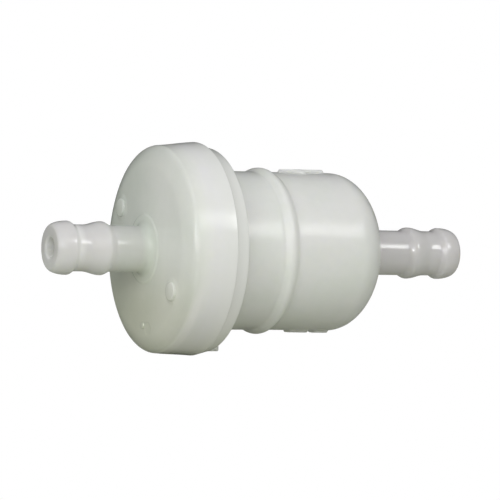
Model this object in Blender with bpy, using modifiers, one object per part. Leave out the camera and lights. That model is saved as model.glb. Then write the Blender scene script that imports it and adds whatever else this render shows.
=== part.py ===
"""In-line fuel filter for small engines: a spin-welded, natural nylon housing with barbed
hose spigots and a pleated paper element inside.

The flow axis is X. The inlet spigot is at +X, on the domed bowl, and the outlet spigot
is at -X, on the wide cap. The origin is half way along the axis. Stations along the axis
are given in millimetres from the outlet tip and are called s; radii are called r.
"""

import math

import bpy
from mathutils import Matrix, Vector

# ------------------------------------------------------------------ driving dimensions (mm)
MM = 0.001

LENGTH = 59.2  # tip to tip
STEPS = 48  # facets round the turned housing
FINE_STEPS = 40  # facets round the inner turned pieces

BORE_R = 1.3  # fuel way through both spigots
TIP_R = 2.66  # edge of the flat tip face
SHANK_R = 3.0
BARB_R = 3.46
BARB_1 = 2.23  # crest of the outer barb, from the tip
BARB_2 = 6.97  # crest of the inner barb, from the tip
BARB_RISE = 2.6  # gentle side of the inner barb
OUTER_FALL = 1.0  # steep side of the outer barb, towards the body
INNER_FALL = 1.28  # steep side of the inner barb
SPIGOT_ROOT_FILLET = 1.6

CAP_FACE = 13.5  # station of the cap's flat front
CAP_FLAT_R = 11.0
CAP_CORNER = 1.38  # axial length of the corner round
CAP_SHOULDER_R = 13.48  # rim radius just behind the corner round
RIM_END = 19.93  # cap rim ends here, at the weld joint
RIM_R = 13.9
CAP_WALL = 1.3
BOSS_R, BOSS_HEIGHT = 1.25, 0.4  # two round gate bosses on the cap's front
BOSS_PLACES = ((9.15, 36.0), (9.55, 214.0))  # (distance from the axis, degrees from +Y)
CAP_BORE_R = 11.5
RIM_POCKET_R = 12.1  # pocket that takes the element's flange
RIM_POCKET_S = 18.55

JOINT_GAP = 0.1
FLANGE_START = RIM_END + JOINT_GAP
FLANGE_END = 21.84
FLANGE_R = 13.74
FLANGE_BACK_R = 13.32
KEY_GROOVE_IN, KEY_GROOVE_OUT = 12.6, 13.3  # facing grooves that the weld bead fills
KEY_GROOVE_CAP, KEY_GROOVE_BOWL = 0.95, 0.65

NECK_R = 10.41
RIB_S, RIB_WIDTH, RIB_HEIGHT = 29.47, 2.25, 0.55
BOWL_R = 10.5
BOWL_BORE_R = 9.2
DOME_START, DOME_END = 39.78, 45.21
DOME_TOP_R = 4.03
INNER_DOME_START, INNER_DOME_END = 39.5, 43.9

KEY_TAB = dict(start=21.3, end=23.55, r=13.2, width=2.7)  # locating tab behind the flange
ARROW = dict(start=32.6, end=38.9, width=4.4, top=10.88)
BARS = (dict(start=34.0, end=37.3), dict(start=37.7, end=40.2))
BAR_WIDTH, BAR_TOP = 3.6, 10.8

PLATE_R = 12.0  # element flange, held between the cap and the bowl
PLATE_START, PLATE_END = 18.65, 19.93
CUP_IN_R, CUP_OUT_R = 7.9, 8.5
CUP_DEPTH = 2.1
COLLAR_IN_R, COLLAR_OUT_R = 2.5, 3.3
CORE_IN_R, CORE_OUT_R = 3.4, 4.15
CORE_HOLE_R = 0.75
CORE_HOLE_ROWS, CORE_HOLES_ROUND = 5, 6
MEDIA_IN_R, MEDIA_OUT_R = 4.65, 7.62
MEDIA_START, MEDIA_END = 20.75, 37.75
PLEATS = 20
PAPER = 0.36
GAP = 0.1
CLOSED_END, CLOSED_PLATE = 38.5, 1.2  # inner face of the closed plate, and its thickness
LUGS, LUG_WIDTH, LUG_IN_R, LUG_OUT_R, LUG_END = 4, 1.1, 3.2, 6.2, 42.3

# ------------------------------------------------------------------ scene and collections
for old in list(bpy.data.objects):
    bpy.data.objects.remove(old, do_unlink=True)

scene = bpy.context.scene
parts = bpy.data.collections.new("fuel_filter")
cutters = bpy.data.collections.new("cutters")
scene.collection.children.link(parts)
scene.collection.children.link(cutters)

# turns a shape built round local Z into one round world X, and puts s = 0 at the outlet tip
AXIS = Matrix.Translation((-LENGTH / 2 * MM, 0, 0)) @ Matrix.Rotation(math.pi / 2, 4, "Y")


def material(name, colour, roughness, alpha=1.0):
    made = bpy.data.materials.new(name)
    made.use_nodes = True
    shader = made.node_tree.nodes["Principled BSDF"]
    shader.inputs["Base Color"].default_value = (*colour, 1)
    shader.inputs["Roughness"].default_value = roughness
    shader.inputs["Metallic"].default_value = 0.0
    shader.inputs["Alpha"].default_value = alpha
    return made


NYLON = material("natural_nylon", (0.62, 0.64, 0.58), 0.3)
WELD = material("weld_nylon", (0.55, 0.57, 0.5), 0.4)
PAPER_MAT = material("filter_paper", (0.62, 0.47, 0.24), 0.9)
ADHESIVE = material("potting_adhesive", (0.5, 0.42, 0.3), 0.45)
PLATE_MAT = material("plate_plastic", (0.55, 0.55, 0.5), 0.5)
CORE_MAT = material("core_plastic", (0.35, 0.36, 0.36), 0.5)


# ------------------------------------------------------------------ profiles
def eased(a, b, t):
    return a + (b - a) * (0.5 - 0.5 * math.cos(math.pi * t))


def spigot(root, count=4):
    """Outer profile of a spigot as (distance from its tip, r), from the tip to its root."""
    points = []
    for i in range(count + 1):  # rounded nose, a quarter ellipse
        a = math.pi / 2 * i / count
        points.append((BARB_1 * (1 - math.cos(a)), TIP_R + (BARB_R - TIP_R) * math.sin(a)))
    for i in range(1, count + 1):
        points.append((BARB_1 + OUTER_FALL * i / count, eased(BARB_R, SHANK_R, i / count)))
    for i in range(0, count + 1):
        points.append(
            (BARB_2 - BARB_RISE + BARB_RISE * i / count, eased(SHANK_R, BARB_R, i / count))
        )
    for i in range(1, count + 1):
        points.append((BARB_2 + INNER_FALL * i / count, eased(BARB_R, SHANK_R, i / count)))
    points.append((root, SHANK_R))
    return points


def arc(s, r, ds, dr, start, end, count):
    """Points (s, r) on an ellipse about (s, r) with half axes ds and dr, from start to end."""
    out = []
    for i in range(count + 1):
        a = start + (end - start) * i / count
        out.append((s + ds * math.cos(a), r + dr * math.sin(a)))
    return out


def cap_profile():
    f = SPIGOT_ROOT_FILLET
    outer = spigot(CAP_FACE - f)
    outer += arc(CAP_FACE - f, SHANK_R + f, f, f, -math.pi / 2, 0, 4)[1:]
    outer += arc(
        CAP_FACE + CAP_CORNER,
        CAP_FLAT_R,
        CAP_CORNER,
        CAP_SHOULDER_R - CAP_FLAT_R,
        math.pi,
        math.pi / 2,
        6,
    )
    outer += [(RIM_END - 0.12, RIM_R), (RIM_END, RIM_R - 0.12)]
    groove = RIM_END - KEY_GROOVE_CAP
    inner = [
        (RIM_END, KEY_GROOVE_OUT),
        (groove, KEY_GROOVE_OUT),
        (groove, KEY_GROOVE_IN),
        (RIM_END, KEY_GROOVE_IN),
        (RIM_END, RIM_POCKET_R),
        (RIM_POCKET_S, RIM_POCKET_R),
        (RIM_POCKET_S, CAP_BORE_R),
    ]
    inner += arc(
        CAP_FACE + CAP_WALL + 0.9, CAP_BORE_R - 0.9, 0.9, 0.9, math.pi / 2, math.pi, 3
    )
    inner += [(CAP_FACE + CAP_WALL, BORE_R + 0.3), (CAP_FACE + CAP_WALL - 0.3, BORE_R), (0, BORE_R)]
    return outer + inner


def bowl_profile():
    outer = [
        (FLANGE_START, FLANGE_R - 0.1),
        (FLANGE_START + 0.1, FLANGE_R),
        (FLANGE_END - 0.3, FLANGE_BACK_R),
        (FLANGE_END - 0.08, FLANGE_BACK_R - 0.1),
        (FLANGE_END, FLANGE_BACK_R - 0.32),
        (FLANGE_END, NECK_R + 0.35),
        (FLANGE_END + 0.1, NECK_R + 0.1),
        (FLANGE_END + 0.35, NECK_R),
    ]
    for i in range(0, 7):  # rounded rib
        t = i / 6
        outer.append(
            (
                RIB_S - RIB_WIDTH / 2 + RIB_WIDTH * t,
                NECK_R + RIB_HEIGHT * math.sin(math.pi * t) ** 1.2,
            )
        )
    outer.append((DOME_START, BOWL_R))
    outer += arc(
        DOME_START,
        DOME_TOP_R - 1.0,
        DOME_END - DOME_START,
        BOWL_R - (DOME_TOP_R - 1.0),
        math.pi / 2,
        0.12,
        9,
    )[1:]
    root = DOME_END + 0.1
    outer += [(LENGTH - d, r) for d, r in reversed(spigot(LENGTH - root))]
    inner = [(LENGTH, BORE_R), (INNER_DOME_END + 0.35, BORE_R), (INNER_DOME_END, BORE_R + 0.35)]
    inner += arc(
        INNER_DOME_START,
        BORE_R + 0.5,
        INNER_DOME_END - INNER_DOME_START,
        BOWL_BORE_R - BORE_R - 0.5,
        0.1,
        math.pi / 2,
        7,
    )
    groove = FLANGE_START + KEY_GROOVE_BOWL
    inner += [
        (FLANGE_START, BOWL_BORE_R),
        (FLANGE_START, KEY_GROOVE_IN),
        (groove, KEY_GROOVE_IN),
        (groove, KEY_GROOVE_OUT),
        (FLANGE_START, KEY_GROOVE_OUT),
    ]
    return outer + inner


# ------------------------------------------------------------------ builders
def new_object(name, data, collection, mat=None):
    made = bpy.data.objects.new(name, data)
    collection.objects.link(made)
    if mat:
        data.materials.append(mat)
    return made


def turned(name, profile, mat, steps=STEPS, closed=True, collection=None):
    """A body turned about the flow axis. The profile is (s, r) with its outer side first,
    in the direction of rising s."""
    mesh = bpy.data.meshes.new(name)
    points = [(r * MM, 0, s * MM) for s, r in reversed(profile)]
    edges = [(i, i + 1) for i in range(len(points) - 1)]
    if closed:
        edges.append((len(points) - 1, 0))
    mesh.from_pydata(points, edges, [])
    made = new_object(name, mesh, collection or parts, mat)
    made.matrix_world = AXIS
    screw = made.modifiers.new("turn", "SCREW")
    screw.axis = "Z"
    screw.angle = 2 * math.pi
    screw.steps = steps
    screw.render_steps = steps
    screw.use_merge_vertices = True
    screw.merge_threshold = 0.00001
    screw.use_smooth_shade = True
    return made


def ring(name, start, end, inner, outer, mat, steps=FINE_STEPS):
    profile = [(start, outer), (end, outer), (end, inner), (start, inner)]
    return turned(name, profile, mat, steps)


def block(name, low, high, collection):
    """A box between two corners, given as (s, y, z) in millimetres."""
    bpy.ops.mesh.primitive_cube_add(size=1)
    made = bpy.context.active_object
    made.name = name
    for owner in list(made.users_collection):
        owner.objects.unlink(made)
    collection.objects.link(made)
    size = [(b - a) * MM for a, b in zip(low, high)]
    middle = [(a + b) / 2 * MM for a, b in zip(low, high)]
    made.data.transform(
        Matrix.Translation((middle[0] - LENGTH / 2 * MM, middle[1], middle[2]))
        @ Matrix.Diagonal((*size, 1))
    )
    return made


def outline(name, loops, thickness, collection):
    """A flat outline with holes, as a mesh of the given thickness about its own plane."""
    curve = bpy.data.curves.new(name, "CURVE")
    curve.dimensions = "2D"
    curve.fill_mode = "BOTH"
    curve.extrude = thickness / 2 * MM
    for loop in loops:
        spline = curve.splines.new("POLY")
        spline.points.add(len(loop) - 1)
        for point, (x, y) in zip(spline.points, loop):
            point.co = (x * MM, y * MM, 0, 1)
        spline.use_cyclic_u = True
    made = new_object(name, curve, collection)
    bpy.context.view_layer.update()
    graph = bpy.context.evaluated_depsgraph_get()
    mesh = bpy.data.meshes.new_from_object(made.evaluated_get(graph))
    bpy.data.objects.remove(made, do_unlink=True)
    return mesh


def weld(mesh, distance=0.000002):
    import bmesh

    shape = bmesh.new()
    shape.from_mesh(mesh)
    bmesh.ops.remove_doubles(shape, verts=shape.verts, dist=distance)
    bmesh.ops.recalc_face_normals(shape, faces=shape.faces)
    shape.to_mesh(mesh)
    shape.free()
    return mesh


def join(target, other, operation):
    modifier = target.modifiers.new(other.name, "BOOLEAN")
    modifier.operation = operation
    modifier.solver = "EXACT"
    modifier.object = other
    other.hide_render = True
    other.display_type = "WIRE"


# ------------------------------------------------------------------ housing
outlet_cap = turned("outlet_cap", cap_profile(), NYLON)
inlet_bowl = turned("inlet_bowl", bowl_profile(), NYLON)

tab = block(
    "tab_form",
    (KEY_TAB["start"], -KEY_TAB["width"] / 2, -KEY_TAB["r"]),
    (KEY_TAB["end"], KEY_TAB["width"] / 2, -(NECK_R - 0.5)),
    cutters,
)
join(inlet_bowl, tab, "UNION")

for number, (reach, degrees) in enumerate(BOSS_PLACES, 1):
    bpy.ops.mesh.primitive_cylinder_add(
        vertices=24, radius=BOSS_R * MM, depth=(BOSS_HEIGHT + 0.6) * MM
    )
    boss = bpy.context.active_object
    boss.name = f"boss_form_{number}"
    for owner in list(boss.users_collection):
        owner.objects.unlink(boss)
    cutters.objects.link(boss)
    turn = math.radians(degrees)
    boss.data.transform(
        Matrix.Translation(
            (
                (CAP_FACE - LENGTH / 2 + 0.3 - BOSS_HEIGHT / 2) * MM,
                reach * math.cos(turn) * MM,
                reach * math.sin(turn) * MM,
            )
        )
        @ Matrix.Rotation(math.pi / 2, 4, "Y")
    )
    join(outlet_cap, boss, "UNION")


def arrow_outline():
    """A plain flow arrow from the inlet towards the outlet, in (s, y)."""
    a, b, w = ARROW["start"], ARROW["end"], ARROW["width"]
    head = a + 0.46 * (b - a)
    shaft = 0.34 * w / 2 * 1.15
    return [
        (a, -0.12),
        (a, 0.12),
        (head, w / 2),
        (head, shaft),
        (b, shaft),
        (b, -shaft),
        (head, -shaft),
        (head, -w / 2),
    ]


def raised(name, loop, low, high, side):
    """A raised mark on top (side 1) or underneath (side -1), from radius low to radius high."""
    mesh = weld(outline(name, [loop], high - low, cutters))
    middle = (low + high) / 2 * MM * side
    mesh.transform(Matrix.Translation((-LENGTH / 2 * MM, 0, middle)))
    return new_object(name, mesh, cutters)


def bar_outline(start, end):
    w = BAR_WIDTH / 2
    c = 0.6
    return [
        (start + c, -w),
        (start, -w + c),
        (start, w - c),
        (start + c, w),
        (end - c, w),
        (end, w - c),
        (end, -w + c),
        (end - c, -w),
    ]


join(inlet_bowl, raised("arrow_form", arrow_outline(), 9.6, ARROW["top"], 1), "UNION")
for number, bar in enumerate(BARS, 1):
    form = raised(f"bar_form_{number}", bar_outline(bar["start"], bar["end"]), 9.7, BAR_TOP, -1)
    join(inlet_bowl, form, "UNION")

# the bead of re-melted nylon that keys the two halves together
ring(
    "weld_bead",
    RIM_END - KEY_GROOVE_CAP + GAP,
    FLANGE_START + KEY_GROOVE_BOWL - GAP,
    KEY_GROOVE_IN + GAP,
    KEY_GROOVE_OUT - GAP,
    WELD,
    STEPS,
)

# ------------------------------------------------------------------ filter element
s0, s1 = PLATE_START, PLATE_END
turned(
    "open_end_plate",
    [
        (s0, PLATE_R),
        (s1, PLATE_R),
        (s1, CUP_OUT_R),
        (s1 + CUP_DEPTH, CUP_OUT_R),
        (s1 + CUP_DEPTH, CUP_IN_R),
        (s1, CUP_IN_R),
        (s1, COLLAR_OUT_R),
        (s1 + CUP_DEPTH, COLLAR_OUT_R),
        (s1 + CUP_DEPTH, COLLAR_IN_R),
        (s0, COLLAR_IN_R),
    ],
    PLATE_MAT,
    FINE_STEPS,
)


def potting_profile(face, towards):
    """A bed of adhesive in an end plate's cup, with a low wall inside and outside the pleats."""
    out_r, in_r = CUP_IN_R - GAP, CORE_OUT_R + GAP
    bed = face + towards * GAP
    top = face + towards * 0.75
    wall = face + towards * 1.6
    loop = [
        (bed, out_r),
        (wall, out_r),
        (wall, MEDIA_OUT_R + 0.06),
        (top, MEDIA_OUT_R + 0.06),
        (top, MEDIA_IN_R - 0.08),
        (wall, MEDIA_IN_R - 0.08),
        (wall, in_r),
        (bed, in_r),
    ]
    return loop if towards > 0 else list(reversed(loop))


turned("potting_open_end", potting_profile(PLATE_END, 1), ADHESIVE, FINE_STEPS)
turned("potting_closed_end", potting_profile(CLOSED_END, -1), ADHESIVE, FINE_STEPS)

# perforated tube that keeps the pleats from collapsing inwards
core_tube = ring(
    "core_tube", PLATE_END + GAP, CLOSED_END - GAP, CORE_IN_R, CORE_OUT_R, CORE_MAT, 36
)
span = (MEDIA_END - MEDIA_START) / CORE_HOLE_ROWS
number = 0
for row in range(CORE_HOLE_ROWS):
    for turn in range(CORE_HOLES_ROUND // 2):
        number += 1
        angle = math.pi * (turn + 0.5 * (row % 2)) / (CORE_HOLES_ROUND // 2)
        s = MEDIA_START + span * (row + 0.5)
        bpy.ops.mesh.primitive_cylinder_add(
            vertices=10, radius=CORE_HOLE_R * MM, depth=2.6 * CORE_OUT_R * MM
        )
        drill = bpy.context.active_object
        drill.name = f"core_drill_{number:02d}"
        for owner in list(drill.users_collection):
            owner.objects.unlink(drill)
        cutters.objects.link(drill)
        drill.matrix_world = Matrix.Translation(((s - LENGTH / 2) * MM, 0, 0)) @ Matrix.Rotation(
            angle, 4, "X"
        )
        join(core_tube, drill, "DIFFERENCE")


def pleat_outlines():
    """Outer and inner outlines of one strip of paper folded into a closed star."""
    outer, inner = [], []
    half = PAPER / 2
    step = math.pi / PLEATS
    lean = math.atan2(
        (MEDIA_OUT_R - MEDIA_IN_R),
        (MEDIA_OUT_R + MEDIA_IN_R) / 2 * step,
    )
    side = half / math.sin(lean)  # sideways reach of half the paper's thickness
    for i in range(PLEATS):
        tip = 2 * math.pi * i / PLEATS
        root = tip + step
        # a rounded outer fold
        for k in (-1, 0, 1):
            r = MEDIA_OUT_R - (0.16 if k else 0.0)
            outer.append((r, tip + k * (side * 0.95) / r))
            r = MEDIA_OUT_R - PAPER * 1.25 - (0.1 if k else 0.0)
            inner.append((r, tip + k * 0.05 / r))
        # a rounded inner fold
        for k in (-1, 0, 1):
            r = MEDIA_IN_R + PAPER * 1.25 + (0.1 if k else 0.0)
            outer.append((r, root + k * 0.05 / r))
            r = MEDIA_IN_R + (0.16 if k else 0.0)
            inner.append((r, root + k * (side * 0.95) / r))
    make = lambda loop: [(r * math.cos(a), r * math.sin(a)) for r, a in loop]
    return [make(outer), make(inner)]


media_mesh = weld(outline("pleated_media", pleat_outlines(), MEDIA_END - MEDIA_START, cutters))
pleated_media = new_object("pleated_media", media_mesh, parts, PAPER_MAT)
pleated_media.matrix_world = (
    Matrix.Translation((((MEDIA_START + MEDIA_END) / 2 - LENGTH / 2) * MM, 0, 0))
    @ Matrix.Rotation(math.pi / 2, 4, "Y")
)

# the glue line where the ends of the paper strip meet, in one outer valley
valley = math.pi / PLEATS
curve = bpy.data.curves.new("seam_bead", "CURVE")
curve.dimensions = "3D"
curve.bevel_depth = 0.27 * MM
curve.bevel_resolution = 2
curve.use_fill_caps = True
spline = curve.splines.new("POLY")
spline.points.add(1)
seam_r = 6.0
# local Z is the flow axis, so an angle in the outline turns the same way here
for point, s in zip(spline.points, (MEDIA_START + 1.2, MEDIA_END - 1.2)):
    point.co = (seam_r * math.cos(valley) * MM, seam_r * math.sin(valley) * MM, s * MM, 1)
guide = new_object("seam_guide", curve, cutters)
bpy.context.view_layer.update()
seam_mesh = weld(
    bpy.data.meshes.new_from_object(
        guide.evaluated_get(bpy.context.evaluated_depsgraph_get())
    )
)
bpy.data.objects.remove(guide, do_unlink=True)
seam = new_object("seam_bead", seam_mesh, parts, ADHESIVE)
seam.matrix_world = AXIS

# ------------------------------------------------------------------ closed end of the element
e0 = CLOSED_END
e1 = CLOSED_END + CLOSED_PLATE
closed_plate = turned(
    "closed_end_plate",
    [
        (e0 - CUP_DEPTH, 0),
        (e0 - CUP_DEPTH, COLLAR_OUT_R - 0.25),
        (e0 - CUP_DEPTH + 0.25, COLLAR_OUT_R),
        (e0, COLLAR_OUT_R),
        (e0, CUP_IN_R),
        (e0 - CUP_DEPTH, CUP_IN_R),
        (e0 - CUP_DEPTH, CUP_OUT_R),
        (e1 - 0.4, CUP_OUT_R),
        (e1, CUP_OUT_R - 0.4),
        (e1, 0),
    ],
    PLATE_MAT,
    FINE_STEPS,
    closed=False,
)
for number in range(LUGS // 2):
    # a blade right across, less its middle, makes two opposite lugs
    low = (e1 - 0.4, -LUG_WIDTH / 2, -LUG_OUT_R)
    high = (LUG_END, LUG_WIDTH / 2, LUG_OUT_R)
    blade = block(f"lug_form_{number + 1}", low, high, cutters)
    blade.matrix_world = Matrix.Rotation(math.pi / 4 + number * math.pi / 2, 4, "X")
    bpy.context.view_layer.update()
    join(closed_plate, blade, "UNION")
bpy.ops.mesh.primitive_cylinder_add(vertices=24, radius=LUG_IN_R * MM, depth=3.0 * MM)
middle = bpy.context.active_object
middle.name = "lug_gap_form"
for owner in list(middle.users_collection):
    owner.objects.unlink(middle)
cutters.objects.link(middle)
middle.matrix_world = Matrix.Translation(((e1 + 1.5 - LENGTH / 2) * MM, 0, 0)) @ Matrix.Rotation(
    math.pi / 2, 4, "Y"
)
join(closed_plate, middle, "DIFFERENCE")

for made in parts.objects:
    if made.data.polygons:
        made.data.shade_smooth()
        made.data.set_sharp_from_angle(angle=math.radians(35))
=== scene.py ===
"""Looks for the in-line fuel filter: fine meshes for the two welded nylon mouldings, better
materials for what is sealed inside, a pale stage, soft light and the camera.

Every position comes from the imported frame's boxes. Stations along the flow axis are in
millimetres from the outlet tip and are called s; radii are called r."""

import math

import bmesh
import bpy
import numpy as np
from mathutils import Matrix, Vector, noise


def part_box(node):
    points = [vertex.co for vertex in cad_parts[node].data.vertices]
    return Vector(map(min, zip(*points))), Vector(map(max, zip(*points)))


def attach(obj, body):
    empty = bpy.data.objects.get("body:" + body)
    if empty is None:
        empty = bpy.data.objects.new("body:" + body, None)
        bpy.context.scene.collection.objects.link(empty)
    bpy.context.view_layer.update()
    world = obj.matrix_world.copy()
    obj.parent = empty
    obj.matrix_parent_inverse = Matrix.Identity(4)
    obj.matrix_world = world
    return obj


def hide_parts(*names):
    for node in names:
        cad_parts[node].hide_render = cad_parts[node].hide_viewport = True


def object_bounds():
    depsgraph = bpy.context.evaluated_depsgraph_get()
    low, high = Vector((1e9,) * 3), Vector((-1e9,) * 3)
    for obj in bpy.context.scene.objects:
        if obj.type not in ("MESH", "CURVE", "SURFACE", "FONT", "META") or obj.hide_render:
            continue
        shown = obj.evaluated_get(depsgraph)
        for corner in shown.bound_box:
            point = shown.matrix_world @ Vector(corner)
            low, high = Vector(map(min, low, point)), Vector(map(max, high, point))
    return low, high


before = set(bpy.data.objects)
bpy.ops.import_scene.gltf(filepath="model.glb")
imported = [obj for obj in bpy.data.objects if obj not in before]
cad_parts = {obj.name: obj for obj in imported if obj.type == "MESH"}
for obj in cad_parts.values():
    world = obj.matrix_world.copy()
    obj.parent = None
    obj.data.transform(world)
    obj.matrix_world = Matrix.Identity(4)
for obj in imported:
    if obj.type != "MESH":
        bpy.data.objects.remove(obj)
cad_low, cad_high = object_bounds()

MM = 0.001
CAP_LOW, CAP_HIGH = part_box("outlet_cap")
BOWL_LOW, BOWL_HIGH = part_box("inlet_bowl")
TIP_X = CAP_LOW.x / MM  # the outlet tip's station is s = 0
LENGTH = BOWL_HIGH.x / MM - TIP_X
RIM_END = CAP_HIGH.x / MM - TIP_X
RIM_R = CAP_HIGH.z / MM
FLANGE_START = BOWL_LOW.x / MM - TIP_X
FLANGE_R = BOWL_HIGH.z / MM

BORE_R = 1.3
TIP_R = 2.66
SHANK_R = 3.0
BARB_R = 3.46
BARB_1, BARB_2, BARB_RISE = 2.23, 6.97, 2.6
OUTER_FALL, INNER_FALL = 1.0, 1.28
CAP_FACE, CAP_FLAT_R, CAP_CORNER, CAP_SHOULDER_R = 13.5, 10.6, 1.5, 13.48
CAP_WALL, CAP_BORE_R, RIM_POCKET_R, RIM_POCKET_S = 1.3, 11.5, 12.1, 18.55
FLANGE_END, FLANGE_BACK_R, NECK_R = 21.84, 13.32, 10.41
RIB_S, RIB_WIDTH, RIB_HEIGHT = 29.47, 2.25, 0.55
BOWL_R, BOWL_BORE_R = 10.5, 9.2
DOME_START, DOME_END, DOME_TOP_R = 39.78, 45.21, 4.03
INNER_DOME_START, INNER_DOME_END = 39.5, 43.9
KEY_IN, KEY_OUT, KEY_CAP, KEY_BOWL = 12.6, 13.3, 0.95, 0.65

scene = bpy.context.scene


# ---------------------------------------------------------------- profile tools
def ease(t):
    t = min(max(t, 0.0), 1.0)
    return t * t * (3 - 2 * t)


def cosine(a, b, t):
    return a + (b - a) * (0.5 - 0.5 * math.cos(math.pi * t))


def rounded(points, step=0.5, arc_step=math.radians(11)):
    """A path through (s, r, fillet radius) corners, with true arcs at the corners and
    points no more than step apart on the straights."""
    out = []
    count = len(points)
    for i, (s, r, rho) in enumerate(points):
        here = Vector((s, r))
        if rho <= 0 or i in (0, count - 1):
            out.append(here)
            continue
        a = (Vector(points[i - 1][:2]) - here).normalized()
        b = (Vector(points[i + 1][:2]) - here).normalized()
        half = a.angle(b) / 2
        if half > math.radians(89):
            out.append(here)
            continue
        back = rho / math.tan(half)
        centre = here + (a + b).normalized() * (rho / math.sin(half))
        start, end = here + a * back - centre, here + b * back - centre
        sweep = math.pi - 2 * half
        turn = 1 if start.x * end.y - start.y * end.x > 0 else -1
        n = max(3, int(math.ceil(sweep / arc_step)))
        for k in range(n + 1):
            angle = turn * sweep * k / n
            c, q = math.cos(angle), math.sin(angle)
            out.append(centre + Vector((start.x * c - start.y * q, start.x * q + start.y * c)))
    dense = [out[0]]
    for p in out[1:]:
        gap = (p - dense[-1]).length
        if gap < 1e-5:
            continue
        n = max(1, int(math.ceil(gap / step)))
        first = dense[-1]
        dense += [first + (p - first) * (k / n) for k in range(1, n + 1)]
    return [(p.x, p.y) for p in dense]


def spigot_profile(root, count=18):
    """(distance from the tip, r) from the tip's edge to the root, barbs included."""
    pts = []
    for i in range(count + 1):
        a = math.pi / 2 * i / count
        pts.append((BARB_1 * (1 - math.cos(a)), TIP_R + (BARB_R - TIP_R) * math.sin(a)))
    for i in range(1, count + 1):
        pts.append((BARB_1 + OUTER_FALL * i / count, cosine(BARB_R, SHANK_R, i / count)))
    for i in range(1, 7):
        gap = BARB_2 - BARB_RISE - BARB_1 - OUTER_FALL
        pts.append((BARB_1 + OUTER_FALL + gap * i / 7, SHANK_R))
    for i in range(count + 1):
        pts.append((BARB_2 - BARB_RISE + BARB_RISE * i / count, cosine(SHANK_R, BARB_R, i / count)))
    for i in range(1, count + 1):
        pts.append((BARB_2 + INNER_FALL * i / count, cosine(BARB_R, SHANK_R, i / count)))
    start = BARB_2 + INNER_FALL
    n = int((root - start) / 0.3)
    pts += [(start + (root - start) * i / n, SHANK_R) for i in range(1, n + 1)]
    return pts


def ellipse(s, r, ds, dr, a0, a1, n):
    return [
        (s + ds * math.cos(a0 + (a1 - a0) * i / n), r + dr * math.sin(a0 + (a1 - a0) * i / n))
        for i in range(n + 1)
    ]


def angles_for(base, windows):
    """Angles round the axis: base of them evenly, and finer inside each (centre, half, step)."""
    out = set()
    for i in range(base):
        out.add(round(360.0 * i / base, 4))
    for centre, half, step in windows:
        n = int(round(2 * half / step))
        for i in range(n + 1):
            out.add(round((centre - half + step * i) % 360.0, 4))
    ordered = sorted(out)
    kept = [ordered[0]]
    for a in ordered[1:]:
        if a - kept[-1] > 0.12:
            kept.append(a)
    return [math.radians(a) for a in kept]


def lathe(name, loop, angles, move=None):
    """A closed turned mesh. loop is a closed (s, r) path, outer side first in the direction
    of rising s. move(s, r, angle) returns (ds, dr), a small shift in millimetres.
    Angle 0 is +Y and 90 degrees is +Z."""
    rows, cols = len(loop), len(angles)
    co = np.zeros((rows, cols, 3))
    for i, (s, r) in enumerate(loop):
        for j, a in enumerate(angles):
            ds, dr = move(s, r, a) if move else (0.0, 0.0)
            rr = r + dr
            co[i, j] = (TIP_X + s + ds, rr * math.cos(a), rr * math.sin(a))
    verts = (co.reshape(-1, 3) * MM).tolist()
    faces = []
    for i in range(rows):
        i2 = (i + 1) % rows
        for j in range(cols):
            j2 = (j + 1) % cols
            faces.append((i * cols + j, i * cols + j2, i2 * cols + j2, i2 * cols + j))
    mesh = bpy.data.meshes.new(name)
    mesh.from_pydata(verts, [], faces)
    mesh.update()
    obj = bpy.data.objects.new(name, mesh)
    scene.collection.objects.link(obj)
    bm = bmesh.new()
    bm.from_mesh(mesh)
    if bm.calc_volume(signed=True) < 0:
        bmesh.ops.reverse_faces(bm, faces=bm.faces)
    bm.to_mesh(mesh)
    bm.free()
    mesh.shade_smooth()
    return obj


# ---------------------------------------------------------------- moulded surface detail
def wave(s, a, seed, size, amp):
    """A slow, repeatable unevenness of a moulded wall, in millimetres."""
    p = Vector((s / size + seed, math.cos(a) * 1.7, math.sin(a) * 1.7 + seed))
    return amp * noise.noise(p)


# two low round gate bosses on the cap's face, opposite each other: (r, angle)
GATES = ((9.15, math.radians(36.6)), (9.85, math.radians(213.2)))


def cap_move(s, r, a):
    ds = dr = 0.0
    if r > 5.2 and s < CAP_FACE + 0.6:
        y, z = r * math.cos(a), r * math.sin(a)
        for gr, ga in GATES:
            # the face swells softly round the foot of each boss
            d = math.hypot(y - gr * math.cos(ga), z - gr * math.sin(ga))
            ds -= 0.10 * (1 - ease((d - 1.2) / 0.75))
        # an ejector witness near the lower edge
        d = math.hypot(y + 0.95, z + 10.3)
        if d < 1.6:
            ds += 0.05 * (1 - ease((d - 0.75) / 0.18))
        ds += wave(r * 0.6, a, 3.1, 2.4, 0.035)
    if r > 11.0 and s > CAP_FACE + 1.2 and r > s * 0:
        dr += wave(s, a, 7.7, 6.0, 0.03)
        if r > 13.2:
            dr += 0.12 * math.sin(a) * ease((s - 15.0) / 4.5)
    return ds, dr


def arrow_distance(s, y):
    """Signed distance to the plain flow arrow, negative inside, in millimetres."""
    a, b, w = 32.6, 38.9, 2.2
    head = a + 0.46 * (b - a)
    shaft = 0.80
    poly = [
        (a, 0.0),
        (head, w),
        (head, shaft),
        (b, shaft),
        (b, -shaft),
        (head, -shaft),
        (head, -w),
    ]
    return polygon_distance(poly, s, y)


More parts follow.
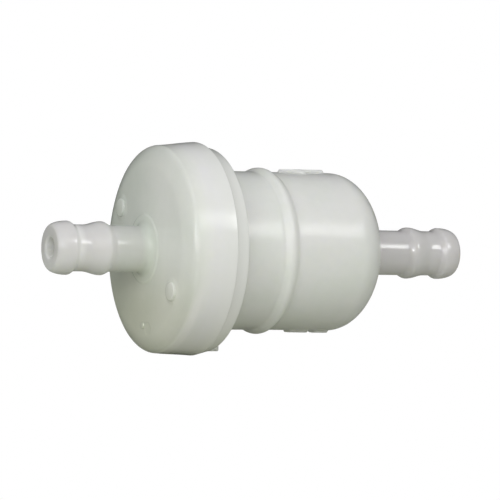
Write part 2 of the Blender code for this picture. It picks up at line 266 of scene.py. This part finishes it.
def polygon_distance(poly, x, y):
    inside = False
    best = 1e9
    n = len(poly)
    for i in range(n):
        x1, y1 = poly[i]
        x2, y2 = poly[(i + 1) % n]
        dx, dy = x2 - x1, y2 - y1
        t = ((x - x1) * dx + (y - y1) * dy) / (dx * dx + dy * dy)
        t = min(max(t, 0.0), 1.0)
        best = min(best, math.hypot(x - x1 - t * dx, y - y1 - t * dy))
        if (y1 > y) != (y2 > y) and x < (x2 - x1) * (y - y1) / (y2 - y1) + x1:
            inside = not inside
    return -best if inside else best


def bar_distance(s, y, start, end, half=1.05, rho=0.25):
    qx = abs(s - (start + end) / 2) - (end - start) / 2 + rho
    qy = abs(y) - half + rho
    return math.hypot(max(qx, 0), max(qy, 0)) + min(max(qx, qy), 0) - rho


def bowl_move(s, r, a):
    dr = 0.0
    y, z = r * math.cos(a), r * math.sin(a)
    outside = r > 10.0
    if outside and 31.5 < s < 41.0:
        if z > 9.0:
            d = arrow_distance(s, y)
            dr += 0.40 * (1 - ease((d + 0.12) / 0.24))
        elif z < -9.0:
            d = min(bar_distance(s, y, 34.15, 36.85), bar_distance(s, y, 37.85, 39.85))
            dr += 0.30 * (1 - ease((d + 0.12) / 0.24))
    if outside and 22.5 < s < DOME_START + 3:
        dr += wave(s, a, 1.3, 5.0, 0.03) + wave(s, a, 9.4, 2.2, 0.008)
    return 0.0, dr


# ---------------------------------------------------------------- the cap
def crown(r):
    """How far the cap's slightly domed front stands ahead of its flat, in millimetres."""
    return 0.42 * max(0.0, 1 - (r / 12.7) ** 2) ** 1.15


def face_station(r):
    return CAP_FACE - crown(r)


def cap_loop():
    outer = [(0.0, BORE_R + 0.22), (0.0, 1.9), (0.0, 2.3), (0.0, TIP_R - 0.1)]
    outer += spigot_profile(10.2)
    # a low collar with a bevelled edge stands round the root
    r = 5.8
    outer += rounded(
        [
            (10.2, SHANK_R, 0),
            (13.00, SHANK_R, 0.85),
            (13.04, 4.34, 0.35),
            (13.16, 4.60, 0.35),
            (face_station(r), r, 0),
        ],
        step=0.3,
        arc_step=math.radians(4),
    )[1:]
    while True:
        r += 0.09 if r > 7.4 else 0.3
        if r > CAP_FLAT_R - 0.05:
            break
        outer.append((face_station(r), r))
    for i in range(25):
        t = math.pi / 2 * i / 24
        reach = CAP_FLAT_R + (CAP_SHOULDER_R - CAP_FLAT_R) * math.sin(t) ** (2 / 2.15)
        drop = CAP_CORNER * (1 - math.cos(t) ** (2 / 2.15))
        outer.append((CAP_FACE + drop - crown(reach), reach))
    rest = rounded(
        [
            (CAP_FACE + CAP_CORNER, CAP_SHOULDER_R, 0),
            (RIM_END, RIM_R + 0.005, 0.10),
            (RIM_END, KEY_OUT, 0.05),
            (RIM_END - KEY_CAP, KEY_OUT, 0.05),
            (RIM_END - KEY_CAP, KEY_IN, 0.05),
            (RIM_END, KEY_IN, 0.05),
            (RIM_END, RIM_POCKET_R, 0.08),
            (RIM_POCKET_S, RIM_POCKET_R, 0.08),
            (RIM_POCKET_S, CAP_BORE_R, 0.08),
            (CAP_FACE + CAP_WALL, CAP_BORE_R, 0.9),
            (CAP_FACE + CAP_WALL, BORE_R, 0.3),
            (0.0, BORE_R, 0),
        ],
        step=0.6,
    )
    outer += rest[1:-1]
    outer += [(0.22 * (1 - math.sin(k)), BORE_R + 0.22 * (1 - math.cos(k))) for k in (0.0, 0.4, 0.8, 1.2)]
    return outer


def bowl_loop():
    outer = rounded(
        [
            (RIM_END + 0.03, KEY_OUT, 0),
            (RIM_END + 0.03, FLANGE_R, 0.05),
            (FLANGE_END, FLANGE_BACK_R - 0.06, 0.28),
            (FLANGE_END, NECK_R, 0.35),
            (RIB_S - RIB_WIDTH / 2, NECK_R, 0),
        ],
        step=0.5,
    )[1:-1]
    for i in range(0, 27):
        t = i / 26
        outer.append(
            (RIB_S - RIB_WIDTH / 2 + RIB_WIDTH * t, NECK_R + RIB_HEIGHT * math.sin(math.pi * t) ** 1.35)
        )
    start, end = RIB_S + RIB_WIDTH / 2, DOME_START
    n = int((end - start) / 0.11)
    outer += [
        (start + (end - start) * i / n, NECK_R + (BOWL_R - NECK_R) * i / n) for i in range(1, n)
    ]
    # the dome runs into the inlet spigot through a small fillet
    top = DOME_TOP_R - 1.0
    dome = ellipse(
        DOME_START, top, DOME_END - DOME_START, BOWL_R - top, math.pi / 2, 0.10, 56
    )
    outer += dome
    root_s, root_r = dome[-1]
    outer += [
        (root_s + 0.05, root_r - 0.35),
        (root_s + 0.12, root_r - 0.6),
        (root_s + 0.25, SHANK_R + 0.12),
        (root_s + 0.45, SHANK_R + 0.03),
    ]
    tail = spigot_profile(LENGTH - root_s - 0.7)
    outer += [(LENGTH - d, r) for d, r in reversed(tail)]
    outer += [(LENGTH, TIP_R - 0.1), (LENGTH, 2.3), (LENGTH, 1.9), (LENGTH, BORE_R + 0.22)]
    outer += [
        (LENGTH - 0.22 * (1 - math.sin(k)), BORE_R + 0.22 * (1 - math.cos(k)))
        for k in (1.2, 0.8, 0.4, 0.0)
    ]
    outer += rounded(
        [
            (LENGTH - 0.22, BORE_R, 0),
            (INNER_DOME_END, BORE_R, 0.3),
            (INNER_DOME_END, BORE_R + 1.0, 0),
        ],
        step=0.8,
    )[1:-1]
    outer += ellipse(
        INNER_DOME_START,
        BORE_R + 0.5,
        INNER_DOME_END - INNER_DOME_START,
        BOWL_BORE_R - BORE_R - 0.5,
        0.1,
        math.pi / 2,
        26,
    )
    outer += rounded(
        [
            (INNER_DOME_START, BOWL_BORE_R, 0),
            (FLANGE_START, BOWL_BORE_R, 0.15),
            (FLANGE_START, KEY_IN, 0.05),
            (FLANGE_START + KEY_BOWL, KEY_IN, 0.05),
            (FLANGE_START + KEY_BOWL, KEY_OUT, 0.05),
            (FLANGE_START, KEY_OUT, 0.05),
        ],
        step=0.9,
    )[1:]
    return outer


cap = lathe(
    "cap_moulding",
    cap_loop(),
    angles_for(256, [(38.0, 11, 0.5), (213.2, 11, 0.5), (264.7, 8, 0.7)]),
    cap_move,
)
bowl = lathe(
    "bowl_moulding", bowl_loop(), angles_for(256, [(90.0, 14, 0.4), (270.0, 12, 0.4)]), bowl_move
)


# the locating tab behind the flange, joined to the bowl
def tab_mesh():
    bpy.ops.mesh.primitive_cube_add(size=1)
    tab = bpy.context.active_object
    low = Vector((TIP_X + 21.3, -1.35, -13.2)) * MM
    high = Vector((TIP_X + 23.55, 1.35, -9.9)) * MM
    size, middle = high - low, (high + low) / 2
    tab.data.transform(Matrix.Translation(middle) @ Matrix.Diagonal((*size, 1)))
    bevel = tab.modifiers.new("edge", "BEVEL")
    bevel.width = 0.22 * MM
    bevel.segments = 5
    bevel.limit_method = "NONE"
    return tab


def join(base, extra):
    """One closed body of the two, and the extra object is gone."""
    union = base.modifiers.new("join", "BOOLEAN")
    union.operation = "UNION"
    union.solver = "EXACT"
    union.object = extra
    bpy.context.view_layer.update()
    graph = bpy.context.evaluated_depsgraph_get()
    joined = bpy.data.meshes.new_from_object(base.evaluated_get(graph))
    base.modifiers.clear()
    base.data = joined
    bpy.data.objects.remove(extra, do_unlink=True)


def boss(y, z, radius, top, bottom, shoulder, crown):
    """A short round stud along the flow axis, with a rounded shoulder and a slight crown."""
    profile = [(top - crown * math.cos(math.pi / 2 * i / 8), (radius - shoulder) * i / 8) for i in range(1, 9)]
    profile += [
        (
            top + shoulder * (1 - math.cos(math.pi / 2 * i / 8)),
            radius - shoulder + shoulder * math.sin(math.pi / 2 * i / 8),
        )
        for i in range(1, 9)
    ]
    profile += [(top + shoulder + (bottom - top - shoulder) * i / 6, radius) for i in range(1, 7)]
    count = 56
    verts = [(TIP_X + top - crown, y, z)]
    for s_, r_ in profile:
        for k in range(count):
            a = 2 * math.pi * (k + 0.37) / count
            verts.append((TIP_X + s_, y + r_ * math.cos(a), z + r_ * math.sin(a)))
    verts.append((TIP_X + bottom, y, z))
    last = len(verts) - 1
    faces = [(0, 1 + (k + 1) % count, 1 + k) for k in range(count)]
    for i in range(len(profile) - 1):
        a, b = 1 + i * count, 1 + (i + 1) * count
        faces += [(a + k, a + (k + 1) % count, b + (k + 1) % count, b + k) for k in range(count)]
    a = 1 + (len(profile) - 1) * count
    faces += [(a + k, a + (k + 1) % count, last) for k in range(count)]
    mesh = bpy.data.meshes.new("boss")
    mesh.from_pydata([Vector(v) * MM for v in verts], [], faces)
    bm = bmesh.new()
    bm.from_mesh(mesh)
    bmesh.ops.recalc_face_normals(bm, faces=bm.faces)
    if bm.calc_volume(signed=True) < 0:
        bmesh.ops.reverse_faces(bm, faces=bm.faces)
    bm.to_mesh(mesh)
    bm.free()
    obj = bpy.data.objects.new("boss", mesh)
    scene.collection.objects.link(obj)
    return obj


join(bowl, tab_mesh())
for gr, ga in GATES:
    join(
        cap,
        boss(
            gr * math.cos(ga),
            gr * math.sin(ga),
            1.25,
            face_station(gr) - 0.40,
            CAP_FACE + 0.6,
            0.28,
            0.05,
        ),
    )
join(cap, boss(0.4, -9.9, 0.42, face_station(9.9) - 0.16, CAP_FACE + 0.6, 0.10, 0.03))
bowl.data.shade_smooth()
bowl.data.set_sharp_from_angle(angle=math.radians(50))
cap.data.set_sharp_from_angle(angle=math.radians(50))


# ---------------------------------------------------------------- materials
class Nodes:
    def __init__(self, name):
        self.material = bpy.data.materials.new(name)
        self.material.use_nodes = True
        self.tree = self.material.node_tree
        self.shader = self.tree.nodes["Principled BSDF"]
        self.coords = self.tree.nodes.new("ShaderNodeTexCoord")

    def link(self, a, b):
        self.tree.links.new(a, b)

    def noise(self, scale, detail=4.0, roughness=0.5, distortion=0.0):
        node = self.tree.nodes.new("ShaderNodeTexNoise")
        node.inputs["Scale"].default_value = scale
        node.inputs["Detail"].default_value = detail
        node.inputs["Roughness"].default_value = roughness
        node.inputs["Distortion"].default_value = distortion
        self.link(self.coords.outputs["Object"], node.inputs["Vector"])
        return node.outputs["Fac"]

    def cells(self, scale, feature="F1"):
        node = self.tree.nodes.new("ShaderNodeTexVoronoi")
        node.feature = feature
        node.inputs["Scale"].default_value = scale
        self.link(self.coords.outputs["Object"], node.inputs["Vector"])
        return node.outputs["Distance"]

    def ramp(self, value, stops):
        node = self.tree.nodes.new("ShaderNodeValToRGB")
        ramp = node.color_ramp
        while len(ramp.elements) < len(stops):
            ramp.elements.new(0.5)
        for element, (at, colour) in zip(ramp.elements, stops):
            element.position = at
            element.color = (*colour, 1)
        self.link(value, node.inputs["Fac"])
        return node.outputs["Color"]

    def spread(self, value, low, high, to_low, to_high):
        node = self.tree.nodes.new("ShaderNodeMapRange")
        node.inputs["From Min"].default_value = low
        node.inputs["From Max"].default_value = high
        node.inputs["To Min"].default_value = to_low
        node.inputs["To Max"].default_value = to_high
        self.link(value, node.inputs["Value"])
        return node.outputs["Result"]

    def mix(self, mode, factor, a, b):
        node = self.tree.nodes.new("ShaderNodeMix")
        node.data_type = "RGBA"
        node.blend_type = mode
        if isinstance(factor, float):
            node.inputs[0].default_value = factor
        else:
            self.link(factor, node.inputs[0])
        for value, socket in ((a, node.inputs[6]), (b, node.inputs[7])):
            if isinstance(value, tuple):
                socket.default_value = (*value, 1)
            else:
                self.link(value, socket)
        return node.outputs[2]

    def math(self, operation, a, b):
        node = self.tree.nodes.new("ShaderNodeMath")
        node.operation = operation
        for value, socket in ((a, node.inputs[0]), (b, node.inputs[1])):
            if isinstance(value, (int, float)):
                socket.default_value = value
            else:
                self.link(value, socket)
        return node.outputs[0]

    def bump(self, height, distance, strength=1.0, under=None):
        node = self.tree.nodes.new("ShaderNodeBump")
        node.inputs["Strength"].default_value = strength
        node.inputs["Distance"].default_value = distance
        self.link(height, node.inputs["Height"])
        if under is not None:
            self.link(under, node.inputs["Normal"])
        return node.outputs["Normal"]

    def set(self, **values):
        for name, value in values.items():
            socket = self.shader.inputs[name.replace("_", " ")]
            if isinstance(value, bpy.types.NodeSocket):
                self.link(value, socket)
            else:
                socket.default_value = value


def nylon(name, tint=(0.925, 0.945, 0.900)):
    """Milky natural nylon: scattering wall, faint green-grey and warm clouds, a few specks, and painted shade and
    painted light in several places.
    """
    n = Nodes(name)
    r, g, b = tint
    clouds = n.ramp(
        n.noise(95.0, 3.0, 0.55, 0.3),
        [
            (0.30, (r * 0.965, g * 0.978, b * 0.965)),
            (0.52, (r, g, b)),
            (0.72, (r * 1.025, g * 1.015, b * 1.02)),
        ],
    )
    fine = n.ramp(n.noise(900.0, 4.0, 0.6), [(0.3, (0.98, 0.98, 0.98)), (0.7, (1.0, 1.0, 1.0))])
    colour = n.mix("MULTIPLY", 1.0, clouds, fine)
    # sparse dark inclusions
    specks = n.spread(n.cells(150.0), 0.014, 0.03, 1.0, 0.0)
    sparse = n.spread(n.noise(110.0, 1.0), 0.56, 0.58, 0.0, 0.55)
    colour = n.mix("MIX", n.math("MULTIPLY", specks, sparse), colour, (0.42, 0.43, 0.38))
    rough = n.spread(n.noise(420.0, 5.0, 0.6), 0.3, 0.7, 0.10, 0.17)
    ripple = n.bump(n.noise(200.0, 2.0, 0.45), 0.00006, 0.35)
    skin = n.bump(n.noise(2600.0, 3.0, 0.6), 0.000006, 0.5, under=ripple)
    # painted shade: the inlet spigot beyond the dome, with no milky backing behind it, is multiplied greyer, darkest
    # towards its top
    place = n.tree.nodes.new("ShaderNodeSeparateXYZ")
    n.link(n.coords.outputs["Object"], place.inputs[0])
    inlet_spigot = n.spread(place.outputs["X"], (TIP_X + 43.6) * MM, (TIP_X + 46.2) * MM, 0.0, 1.0)
    height = n.spread(place.outputs["Z"], -0.0032, 0.0032, 0.0, 1.0)
    tail = n.ramp(height, [(0.0, (0.93, 0.893, 0.945)), (0.45, (0.845, 0.808, 0.858)), (1.0, (0.82, 0.785, 0.83))])
    colour = n.mix("MULTIPLY", inlet_spigot, colour, tail)
    # painted shade: the outlet spigot is multiplied darker towards its top and a touch lighter underneath
    outlet_spigot = n.spread(place.outputs["X"], (TIP_X + 12.9) * MM, (TIP_X + 11.6) * MM, 0.0, 1.0)
    wall = n.ramp(height, [(0.0, (1.015, 0.988, 1.035)), (0.45, (0.892, 0.855, 0.90)), (1.0, (0.862, 0.825, 0.877))])
    colour = n.mix("MULTIPLY", outlet_spigot, colour, wall)
    # painted shade: the cap's face is multiplied darker towards its +Y side
    near = n.spread(place.outputs["Y"], 0.012, -0.0095, 0.0, 1.0)
    face = n.spread(place.outputs["X"], (TIP_X + 15.2) * MM, (TIP_X + 14.0) * MM, 0.0, 1.0)
    face_painted_shade = n.ramp(near, [(0.0, (0.725, 0.76, 0.73)), (0.85, (1.0, 1.0, 1.0))])
    colour = n.mix("MULTIPLY", face, colour, face_painted_shade)
    # painted shade: the lower part of the cap's face and corner gets a yellow-olive tint, more on the +Y side
    low = n.spread(place.outputs["Z"], 0.001, -0.006, 0.0, 1.0)
    front = n.spread(place.outputs["X"], (TIP_X + 18.5) * MM, (TIP_X + 12.5) * MM, 0.0, 1.0)
    ahead = n.spread(place.outputs["X"], (TIP_X + 11.5) * MM, (TIP_X + 10.0) * MM, 1.0, 0.0)
    low = n.math("MULTIPLY", low, ahead)
    low = n.math("MULTIPLY", low, n.spread(place.outputs["Y"], -0.010, 0.003, 0.30, 1.0))
    colour = n.mix("MULTIPLY", n.math("MULTIPLY", low, front), colour, (0.99, 0.972, 0.92))
    # painted shade: the lowest part of the cap's face is multiplied darker and yellower, more on the -Y side
    low_face_painted_shade = n.spread(place.outputs["Z"], -0.002, -0.008, 0.0, 1.0)
    low_face_painted_shade = n.math("MULTIPLY", low_face_painted_shade, n.spread(place.outputs["Y"], -0.011, 0.003, 0.80, 1.0))
    colour = n.mix("MULTIPLY", n.math("MULTIPLY", low_face_painted_shade, face), colour, (0.888, 0.886, 0.838))
    # the weld land is solid right through, so less light is lost there
    land = n.math("ABSOLUTE", n.math("SUBTRACT", place.outputs["X"], (TIP_X + 20.3) * MM), 0.0)
    weight = n.spread(land, 0.0013, 0.0032, 0.25, 1.0)
    facing = n.spread(place.outputs["X"], (TIP_X + 15.6) * MM, (TIP_X + 13.9) * MM, 0.0, 0.45)
    weight = n.math("SUBTRACT", weight, n.math("MULTIPLY", facing, ahead))
    # painted shade: the rounded front corner is multiplied greyer
    across = n.math("ADD", n.math("POWER", place.outputs["Y"], 2.0), n.math("POWER", place.outputs["Z"], 2.0))
    radius = n.math("POWER", across, 0.5)
    from_s = n.math("SUBTRACT", place.outputs["X"], (TIP_X + 14.3) * MM)
    from_r = n.math("SUBTRACT", radius, 13.1 * MM)
    gap = n.math("ADD", n.math("POWER", from_s, 2.0), n.math("POWER", from_r, 2.0))
    corner = n.spread(n.math("POWER", gap, 0.5), 0.0000, 0.0021, 1.0, 0.0)
    colour = n.mix("MULTIPLY", corner, colour, (0.865, 0.867, 0.866))
    # painted light: a narrow band on the wall just behind the corner is mixed lighter, most of all low down, and its
    # subsurface weight drops
    edge = n.math("ABSOLUTE", n.math("SUBTRACT", place.outputs["X"], (TIP_X + 15.3) * MM), 0.0)
    rim_edge_painted_light = n.math(
        "MULTIPLY", n.spread(edge, 0.0003, 0.0009, 1.0, 0.0), n.spread(radius, 0.0130, 0.0133, 0.0, 1.0)
    )
    rim_edge_painted_light = n.math(
        "MULTIPLY", rim_edge_painted_light, n.spread(place.outputs["Z"], -0.0085, -0.004, 1.0, 0.12)
    )
    colour = n.mix("MIX", rim_edge_painted_light, colour, (0.992, 0.988, 0.955))
    weight = n.math("SUBTRACT", weight, n.math("MULTIPLY", rim_edge_painted_light, 0.65))
    # painted light: the rim and the weld land are mixed lighter, most of all low down, and low on the weld land the
    # subsurface weight drops
    rim_band = n.math(
        "MULTIPLY",
        n.spread(place.outputs["X"], (TIP_X + 14.9) * MM, (TIP_X + 17.6) * MM, 0.0, 1.0),
        n.spread(place.outputs["X"], (TIP_X + 22.2) * MM, (TIP_X + 21.6) * MM, 0.0, 1.0),
    )
    low_painted_light = n.spread(place.outputs["Z"], -0.0105, -0.001, 1.0, 0.50)
    low_land = n.math(
        "MULTIPLY",
        n.spread(place.outputs["X"], (TIP_X + 19.0) * MM, (TIP_X + 20.2) * MM, 0.0, 0.6),
        n.spread(place.outputs["Z"], -0.0105, -0.006, 1.0, 0.0),
    )
    low_land = n.math(
        "MULTIPLY",
        low_land,
        n.spread(place.outputs["X"], (TIP_X + 22.6) * MM, (TIP_X + 22.0) * MM, 0.0, 1.0),
    )
    weight = n.math("SUBTRACT", weight, n.math("MULTIPLY", low_land, 0.4))
    colour = n.mix("MIX", n.math("MULTIPLY", rim_band, low_painted_light), colour, (0.995, 0.991, 0.973))
    # painted light: the crease at the outer barb's steep side is mixed lighter
    step = n.math("ABSOLUTE", n.math("SUBTRACT", place.outputs["X"], (TIP_X + 3.1) * MM), 0.0)
    colour = n.mix("MIX", n.spread(step, 0.0002, 0.0009, 0.60, 0.0), colour, (0.97, 0.965, 0.96))
    # painted shade: the outlet shank between the inner barb and the collar is multiplied darker and a little greener
    shank_painted_shade = n.math(
        "MULTIPLY",
        n.spread(place.outputs["X"], (TIP_X + 7.8) * MM, (TIP_X + 8.8) * MM, 0.0, 1.0),
        n.math(
            "MULTIPLY",
            n.spread(place.outputs["X"], (TIP_X + 13.3) * MM, (TIP_X + 12.9) * MM, 0.0, 1.0),
            n.spread(radius, 0.0046, 0.0050, 1.0, 0.0),
        ),
    )
    colour = n.mix("MULTIPLY", shank_painted_shade, colour, (0.94, 0.962, 0.935))
    # painted light: the mouth and the bore are mixed lighter
    mouth_painted_light = n.spread(radius, 0.00145, 0.00165, 0.40, 0.0)
    colour = n.mix("MIX", mouth_painted_light, colour, (0.975, 0.99, 0.955))
    # the spigots are polished, the bowl is a little dull
    dull = n.math(
        "MULTIPLY",
        n.spread(place.outputs["X"], (TIP_X + 21.0) * MM, (TIP_X + 23.0) * MM, 0.0, 0.085),
        n.spread(place.outputs["X"], (TIP_X + 45.0) * MM, (TIP_X + 43.0) * MM, 0.0, 1.0),
    )
    rough = n.math("ADD", rough, dull)
    shine = n.math(
        "ADD",
        n.spread(place.outputs["X"], (TIP_X + 44.5) * MM, (TIP_X + 46.5) * MM, 0.40, 0.95),
        n.spread(place.outputs["X"], (TIP_X + 21.0) * MM, (TIP_X + 19.5) * MM, 0.0, 0.21),
    )
    n.set(
        Base_Color=colour,
        Roughness=rough,
        Normal=skin,
        IOR=1.52,
        Specular_IOR_Level=shine,
        Subsurface_Weight=weight,
        Subsurface_Radius=(1.0, 1.0, 0.93),
        Subsurface_Scale=0.0014,
        Subsurface_Anisotropy=0.3,
    )
    return n.material


def plain(name, dark, light, scale, rough, bump, **more):
    n = Nodes(name)
    colour = n.ramp(n.noise(scale, 5.0, 0.6), [(0.32, dark), (0.68, light)])
    n.set(
        Base_Color=colour,
        Roughness=n.spread(n.noise(scale * 2.3, 4.0), 0.3, 0.7, rough[0], rough[1]),
        Normal=n.bump(n.noise(scale * 4.0, 4.0, 0.6), bump),
        **more,
    )
    return n.material


NYLON = nylon("natural_nylon")
WELD = nylon("weld_nylon", (0.93, 0.935, 0.90))
PAPER = plain(
    "filter_paper", (0.80, 0.77, 0.66), (0.90, 0.88, 0.80), 1500.0, (0.8, 0.95), 0.00008
)
PLATE = plain("plate_plastic", (0.88, 0.89, 0.86), (0.94, 0.95, 0.92), 300.0, (0.4, 0.55), 0.00003)
CORE = plain("core_plastic", (0.78, 0.79, 0.77), (0.86, 0.87, 0.85), 300.0, (0.42, 0.58), 0.00003)
GLUE = plain("potting_adhesive", (0.74, 0.70, 0.60), (0.84, 0.80, 0.70), 500.0, (0.3, 0.5), 0.00006)


def dress(obj, material):
    obj.data.materials.clear()
    obj.data.materials.append(material)


for piece, node in ((cap, "outlet_cap"), (bowl, "inlet_bowl")):
    dress(piece, NYLON)
    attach(piece, "root")
    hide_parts(node)

for node, material in {
    "weld_bead": WELD,
    "open_end_plate": PLATE,
    "closed_end_plate": PLATE,
    "core_tube": CORE,
    "pleated_media": PAPER,
    "seam_bead": GLUE,
    "potting_open_end": GLUE,
    "potting_closed_end": GLUE,
}.items():
    dress(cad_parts[node], material)

# ---------------------------------------------------------------- camera
ROLL = math.radians(-0.903)
TURN = math.radians(26.93)
along = Vector(
    (math.cos(TURN) * math.cos(ROLL), math.cos(TURN) * math.sin(ROLL), -math.sin(TURN))
)  # the flow axis in camera coordinates
up = (Vector((0, 1, 0)) - along * along.y).normalized()
away = up.cross(along)
to_camera = Matrix(
    (
        (along.x, away.x, up.x),
        (along.y, away.y, up.y),
        (along.z, away.z, up.z),
    )
)
aim = Vector(((30.0 + TIP_X) * MM, 0, 0))
seen = Vector((1.268, -0.098, -374.54)) * MM
place = aim - to_camera.transposed() @ seen
camera_data = bpy.data.cameras.new("camera")
camera_data.sensor_width = 36.0
camera_data.lens = 2840.5 * 36.0 / 500.0
camera_data.clip_start = 0.01
camera_data.clip_end = 20.0
camera = bpy.data.objects.new("camera", camera_data)
scene.collection.objects.link(camera)
camera.matrix_world = Matrix.Translation(place) @ to_camera.transposed().to_4x4()
scene.camera = camera


# ---------------------------------------------------------------- stage and light
def toward(direction):
    """A world direction from one in the photograph's camera coordinates."""
    return (to_camera.transposed() @ Vector(direction)).normalized()


def area(name, direction, distance, size, power, colour=(1, 1, 1), aim_at=(0, 0, 0)):
    data = bpy.data.lights.new(name, "AREA")
    data.shape = "RECTANGLE"
    data.size, data.size_y = size
    data.energy = power
    data.color = colour
    lamp = bpy.data.objects.new(name, data)
    scene.collection.objects.link(lamp)
    target = Vector(aim_at)
    lamp.location = target + toward(direction) * distance
    lamp.rotation_euler = (target - lamp.location).to_track_quat("-Z", "Y").to_euler()
    lamp.visible_camera = False
    return lamp


CAP_CENTRE = ((17 + TIP_X) * MM, 0, 0)
area("key", (0.7505, 0.446, 0.4874), 1.20, (0.436, 0.30), 1.50)
area("key_halo", (0.73, 0.49, 0.475), 1.25, (0.56, 0.46), 0.85)
area("front", (-0.24, 0.20, 0.94), 0.90, (0.60, 0.50), 1.00)
area("near", (0.0, 0.40, 0.90), 0.13, (0.12, 0.12), 0.036, aim_at=CAP_CENTRE)
area("spark", (-0.55, 0.19, 0.82), 0.60, (0.13, 0.20), 0.38)
area("flash", (0.0, 0.24, 0.97), 0.50, (0.04, 0.04), 0.10)

floor_mesh = bpy.data.meshes.new("floor")
half, z = 1.5, cad_low.z - 0.0004
floor_mesh.from_pydata(
    [(-half, -half, z), (half, -half, z), (half, half, z), (-half, half, z)], [], [(0, 1, 2, 3)]
)
floor = bpy.data.objects.new("floor", floor_mesh)
scene.collection.objects.link(floor)

FLOOR = bpy.data.materials.new("pale_floor")
FLOOR.use_nodes = True
tree = FLOOR.node_tree
tree.nodes.clear()
out = tree.nodes.new("ShaderNodeOutputMaterial")
mixer = tree.nodes.new("ShaderNodeMixShader")
path = tree.nodes.new("ShaderNodeLightPath")
plainly = tree.nodes.new("ShaderNodeBsdfDiffuse")
plainly.inputs["Color"].default_value = (0.56, 0.57, 0.50, 1)
glow = tree.nodes.new("ShaderNodeEmission")
glow.inputs["Color"].default_value = (1, 1, 1, 1)
glow.inputs["Strength"].default_value = 1.0
tree.links.new(path.outputs["Is Camera Ray"], mixer.inputs[0])
tree.links.new(plainly.outputs[0], mixer.inputs[1])
tree.links.new(glow.outputs[0], mixer.inputs[2])
tree.links.new(mixer.outputs[0], out.inputs["Surface"])
floor.data.materials.append(FLOOR)

world = bpy.data.worlds.new("studio")
scene.world = world
world.use_nodes = True
tree = world.node_tree
tree.nodes.clear()
out = tree.nodes.new("ShaderNodeOutputWorld")
mixer = tree.nodes.new("ShaderNodeMixShader")
path = tree.nodes.new("ShaderNodeLightPath")
white = tree.nodes.new("ShaderNodeBackground")
white.inputs["Color"].default_value = (1, 1, 1, 1)
room = tree.nodes.new("ShaderNodeBackground")
room.inputs["Strength"].default_value = 1.0
coords = tree.nodes.new("ShaderNodeTexCoord")
split = tree.nodes.new("ShaderNodeSeparateXYZ")
ramp = tree.nodes.new("ShaderNodeValToRGB")
shift = tree.nodes.new("ShaderNodeMapRange")
shift.inputs["From Min"].default_value = -1.0
shift.inputs["From Max"].default_value = 1.0
tree.links.new(coords.outputs["Generated"], split.inputs[0])
tree.links.new(split.outputs["Z"], shift.inputs["Value"])
tree.links.new(shift.outputs[0], ramp.inputs["Fac"])
stops = [
    (0.0, (0.27, 0.27, 0.24)),
    (0.42, (0.33, 0.33, 0.305)),
    (0.62, (0.36, 0.37, 0.36)),
    (1.0, (0.37, 0.37, 0.37)),
]
while len(ramp.color_ramp.elements) < len(stops):
    ramp.color_ramp.elements.new(0.5)
for element, (at, colour) in zip(ramp.color_ramp.elements, stops):
    element.position = at
    element.color = (*colour, 1)
# the far wall, behind the object from where the photographer stands, is darker
far = tree.nodes.new("ShaderNodeVectorMath")
far.operation = "DOT_PRODUCT"
far.inputs[1].default_value = (0.42, 0.85, -0.05)
wall = tree.nodes.new("ShaderNodeMapRange")
wall.interpolation_type = "SMOOTHSTEP"
wall.inputs["From Min"].default_value = 0.50
wall.inputs["From Max"].default_value = 0.90
wall.inputs["To Min"].default_value = 1.0
wall.inputs["To Max"].default_value = 0.06
tree.links.new(coords.outputs["Generated"], far.inputs[0])
tree.links.new(far.outputs["Value"], wall.inputs["Value"])
shade = tree.nodes.new("ShaderNodeMix")
shade.data_type = "RGBA"
shade.blend_type = "MULTIPLY"
shade.inputs[0].default_value = 1.0
tree.links.new(ramp.outputs["Color"], shade.inputs[6])
tree.links.new(wall.outputs[0], shade.inputs[7])
tree.links.new(shade.outputs[2], room.inputs["Color"])
tree.links.new(path.outputs["Is Camera Ray"], mixer.inputs[0])
tree.links.new(room.outputs[0], mixer.inputs[1])
tree.links.new(white.outputs[0], mixer.inputs[2])
tree.links.new(mixer.outputs[0], out.inputs["Surface"])

# light crosses the milky walls and the space inside many times
scene.cycles.max_bounces = 24
scene.cycles.diffuse_bounces = 20

scene.view_settings.view_transform = "Standard"
scene.view_settings.look = "None"
scene.view_settings.exposure = 0.0
scene.view_settings.gamma = 1.0
